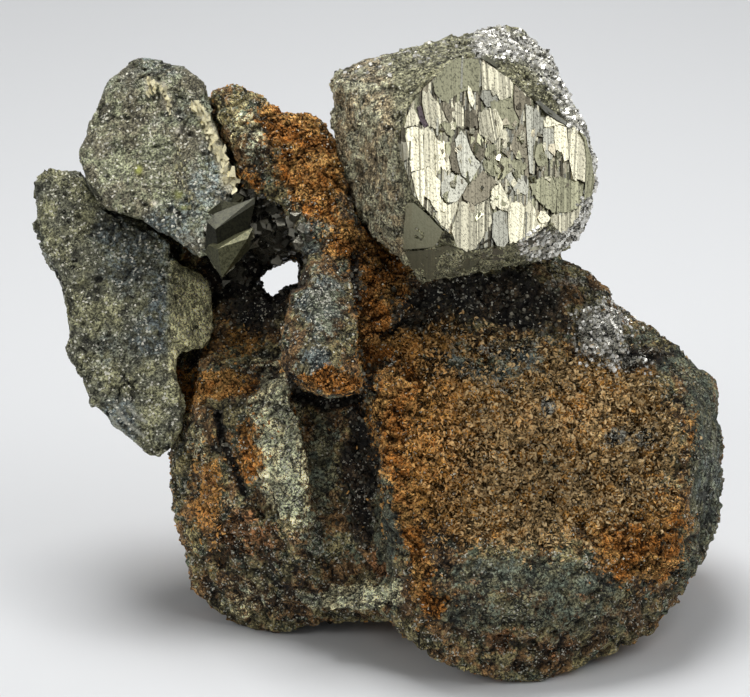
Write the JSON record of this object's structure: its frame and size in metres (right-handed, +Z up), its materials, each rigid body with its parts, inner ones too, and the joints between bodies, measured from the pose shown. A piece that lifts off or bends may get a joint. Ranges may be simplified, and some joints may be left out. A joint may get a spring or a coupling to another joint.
{
  "type": "pyrite specimen",
  "caption": "Free-standing pyrite mineral specimen: large faceted crystals grown on a lumpy, rust-crusted matrix with a small see-through cavity.",
  "frame": {"origin": "bottom centre of the specimen's box, on the surface that it rests on", "axes": "+X to the right as the specimen is seen from its front, along its longest side; +Y away from the viewer; +Z up"},
  "size_m": [0.0866, 0.0512, 0.0703],
  "materials": {
    "rust_crusted_matrix": "granular iron-rust crust over grey-green massive pyrite, matt with sparkling grains",
    "bright_pyrite": "bright, pale brass faces with fine striations and dark seams, dull granular sides",
    "tarnished_pyrite": "dull grey-green, finely pitted and glittering, a pale bright edge",
    "dark_pyrite": "dull dark grey-green, pitted, with fine vertical cracks"
  },
  "bodies": {
    "root": {"matrix": "rust_crusted_matrix", "large_crystal": "bright_pyrite", "upper_left_crystal": "tarnished_pyrite", "left_crystal": "dark_pyrite"}
  },
  "joints": []
}
